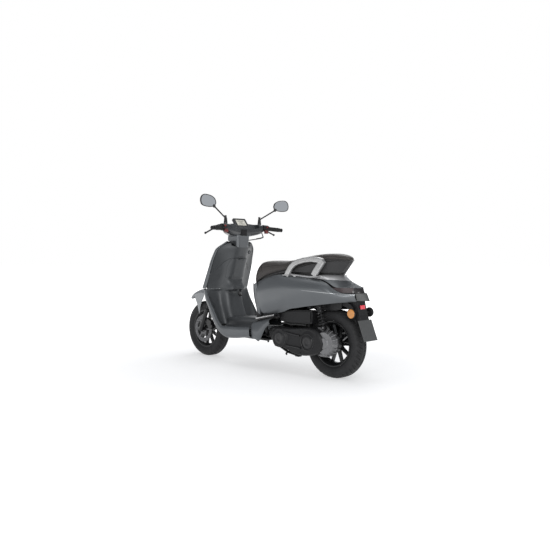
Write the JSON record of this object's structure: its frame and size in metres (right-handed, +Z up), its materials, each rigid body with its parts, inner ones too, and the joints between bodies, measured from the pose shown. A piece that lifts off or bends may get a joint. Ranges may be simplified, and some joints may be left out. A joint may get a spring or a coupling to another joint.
{
  "type": "moped scooter",
  "caption": "Step-through motor scooter with a leg shield, flat floor, stepped dual seat, grab rails, tail hood and a swinging engine unit.",
  "frame": {"origin": "on the ground at the middle of the scooter's length, on its centre plane", "axes": "+X forwards, +Y to the rider's left, +Z up"},
  "size_m": [1.9156, 0.9306, 1.2965],
  "materials": {
    "paint_graphite": "satin metallic",
    "paint_light": "satin metallic",
    "shield_plastic": "matt",
    "black_plastic": "matt",
    "grey_plastic": "grained",
    "frame_steel": "satin black",
    "silver_cast": "satin",
    "deck_silver": "satin metallic",
    "cast_alloy": "as cast",
    "black_alloy": "satin black",
    "disc_steel": "ground",
    "bright_steel": "bright",
    "seat_vinyl": "grained",
    "seat_base": "matt",
    "grip_rubber": "matt",
    "tyre_rubber": "matt",
    "tail_smoke": "gloss",
    "signal_amber": "gloss",
    "lamp_clear": "gloss",
    "display_glass": "gloss",
    "mirror_shell": "gloss",
    "switch_red": "satin",
    "hose_rubber": "satin",
    "spring_steel": "satin"
  },
  "bodies": {
    "chassis": {"frame": "frame_steel", "front_apron": "paint_graphite", "front_signals": "lamp_clear", "inner_leg_shield": "shield_plastic", "floorboard": "shield_plastic", "belly_pan": "black_plastic", "side_skirts": "paint_graphite", "side_panels": "paint_graphite", "seat_front_cover": "paint_graphite", "tail_cover": "deck_silver", "tail_lamp": "tail_smoke", "tail_rear_panel": "grey_plastic", "grab_rails": "silver_cast", "rear_mudguard": "black_plastic", "number_plate": "grey_plastic", "reflectors": "signal_amber", "helmet_box": "black_plastic", "fuel_tank": "frame_steel", "battery": "black_plastic"},
    "glovebox": {"glovebox_lid": "shield_plastic"},
    "ignition": {"ignition_switch": "bright_steel"},
    "hook": {"bag_hook": "silver_cast"},
    "seat": {"seat_pan": "seat_base", "seat_cushion": "seat_vinyl"},
    "tank_cap": {"fuel_cap": "black_plastic"},
    "left_footrest": {"footrest_left": "silver_cast"},
    "right_footrest": {"footrest_right": "silver_cast"},
    "steering": {"steering_stem": "frame_steel", "handlebar_cover": "paint_graphite", "headlamp": "lamp_clear", "display_unit": "display_glass", "grip_left": "grip_rubber", "switch_housings": "black_plastic", "front_fender": "paint_light", "brake_cable": "hose_rubber"},
    "throttle": {"throttle_grip": "grip_rubber"},
    "horn": {"horn_button": "switch_red"},
    "starter": {"start_button": "switch_red"},
    "left_lever": {"brake_lever_left": "black_alloy"},
    "right_lever": {"brake_lever_right": "black_alloy"},
    "left_mirror_arm": {"mirror_stem_left": "black_alloy"},
    "right_mirror_arm": {"mirror_stem_right": "black_alloy"},
    "left_mirror": {"mirror_head_left": "mirror_shell"},
    "right_mirror": {"mirror_head_right": "mirror_shell"},
    "fork": {"fork_lowers": "black_alloy", "front_caliper": "black_alloy"},
    "front_wheel": {"front_rim": "black_alloy", "front_tyre": "tyre_rubber", "front_disc": "disc_steel"},
    "engine_unit": {"engine_case": "black_alloy", "cvt_cover": "black_plastic", "gear_case": "cast_alloy", "air_filter_box": "black_plastic", "exhaust": "frame_steel"},
    "stand": {"center_stand": "frame_steel"},
    "rear_wheel": {"rear_rim": "black_alloy", "rear_tyre": "tyre_rubber"},
    "shock_upper": {"shock_body": "black_alloy", "shock_spring": "spring_steel"},
    "shock_lower": {"shock_rod": "bright_steel"}
  },
  "joints": [
    {"name": "steering", "type": "hinge", "parent": "chassis", "child": "steering", "pos_m": [0.45604, 0, 0.71595], "axis": [-0.4462, 0, 0.8949], "range_deg": [-38, 38]},
    {"name": "fork_slide", "type": "slide", "parent": "steering", "child": "fork", "axis": [-0.4462, 0, 0.8949], "range_m": [-0.02, 0.06], "stiffness_N_per_m": 9000, "springref_m": -0.032},
    {"name": "front_wheel_spin", "type": "hinge", "parent": "fork", "child": "front_wheel", "pos_m": [0.728, 0, 0.229], "axis": [0, 1, 0], "continuous": true},
    {"name": "throttle_twist", "type": "hinge", "parent": "steering", "child": "throttle", "pos_m": [0.25206, -0.3, 1.0522], "axis": [-0.2973, -0.9513, -0.0811], "range_deg": [0, 75], "stiffness_Nm_per_rad": 0.5},
    {"name": "left_brake_lever", "type": "hinge", "parent": "steering", "child": "left_lever", "pos_m": [0.31719, 0.226, 1.05451], "axis": [0, 0, 1], "range_deg": [0, 14], "stiffness_Nm_per_rad": 3, "springref_deg": -5.73},
    {"name": "right_brake_lever", "type": "hinge", "parent": "steering", "child": "right_lever", "pos_m": [0.31719, -0.226, 1.05451], "axis": [0, 0, -1], "range_deg": [0, 14], "stiffness_Nm_per_rad": 3, "springref_deg": -5.73},
    {"name": "horn_press", "type": "slide", "parent": "steering", "child": "horn", "axis": [0.9419, -0.1002, -0.3206], "range_m": [0, 0.003], "stiffness_N_per_m": 400},
    {"name": "start_press", "type": "slide", "parent": "steering", "child": "starter", "axis": [0.9419, 0.1002, -0.3206], "range_m": [0, 0.003], "stiffness_N_per_m": 400},
    {"name": "left_mirror_yaw", "type": "hinge", "parent": "steering", "child": "left_mirror_arm", "pos_m": [0.298, 0.179, 1.0974], "axis": [0, 0, 1], "range_deg": [-25, 25]},
    {"name": "right_mirror_yaw", "type": "hinge", "parent": "steering", "child": "right_mirror_arm", "pos_m": [0.298, -0.179, 1.0974], "axis": [0, 0, 1], "range_deg": [-25, 25]},
    {"name": "left_mirror_tilt", "type": "hinge", "parent": "left_mirror_arm", "child": "left_mirror", "pos_m": [0.262, 0.318, 1.208], "axis": [0, 1, 0], "range_deg": [-8, 8]},
    {"name": "right_mirror_tilt", "type": "hinge", "parent": "right_mirror_arm", "child": "right_mirror", "pos_m": [0.262, -0.318, 1.208], "axis": [0, 1, 0], "range_deg": [-8, 8]},
    {"name": "seat_lift", "type": "hinge", "parent": "chassis", "child": "seat", "pos_m": [0.045, 0, 0.612], "axis": [0, 1, 0], "range_deg": [0, 60]},
    {"name": "fuel_cap_turn", "type": "hinge", "parent": "chassis", "child": "tank_cap", "pos_m": [-0.56, 0, 0.675], "axis": [0, 0, 1], "range_deg": [0, 90]},
    {"name": "glovebox_open", "type": "hinge", "parent": "chassis", "child": "glovebox", "pos_m": [0.372, 0, 0.664], "axis": [0, -1, 0], "range_deg": [0, 25]},
    {"name": "ignition_turn", "type": "hinge", "parent": "chassis", "child": "ignition", "pos_m": [0.3535, -0.104, 0.868], "axis": [-1, 0, 0], "range_deg": [0, 110]},
    {"name": "hook_fold", "type": "hinge", "parent": "chassis", "child": "hook", "pos_m": [0.343, 0, 0.552], "axis": [0, 1, 0], "range_deg": [0, 60]},
    {"name": "left_footrest_out", "type": "hinge", "parent": "chassis", "child": "left_footrest", "pos_m": [-0.062, 0.177, 0.374], "axis": [0, 0, -1], "range_deg": [0, 75]},
    {"name": "right_footrest_out", "type": "hinge", "parent": "chassis", "child": "right_footrest", "pos_m": [-0.062, -0.177, 0.374], "axis": [0, 0, 1], "range_deg": [0, 75]},
    {"name": "swing", "type": "hinge", "parent": "chassis", "child": "engine_unit", "pos_m": [-0.17, 0, 0.29], "axis": [0, 1, 0], "range_deg": [-2.5, 4], "stiffness_Nm_per_rad": 2500, "springref_deg": -5.16},
    {"name": "rear_wheel_spin", "type": "hinge", "parent": "engine_unit", "child": "rear_wheel", "pos_m": [-0.657, 0, 0.236], "axis": [0, 1, 0], "continuous": true},
    {"name": "stand_drop", "type": "hinge", "parent": "engine_unit", "child": "stand", "pos_m": [-0.15, 0, 0.196], "axis": [0, -1, 0], "range_deg": [0, 36]},
    {"name": "shock_pivot", "type": "hinge", "parent": "chassis", "child": "shock_upper", "pos_m": [-0.585, 0.118, 0.575], "axis": [0, 1, 0], "range_deg": [-2, 2]},
    {"name": "shock_slide", "type": "slide", "parent": "shock_upper", "child": "shock_lower", "axis": [0.2798, 0, 0.96], "range_m": [-0.025, 0.04], "deforming": ["shock_spring"]}
  ],
  "couplings": [
    {"joint": "shock_slide", "follows": "swing", "m_per_rad": 0.47817},
    {"joint": "shock_pivot", "follows": "swing", "ratio": 0.32202}
  ]
}
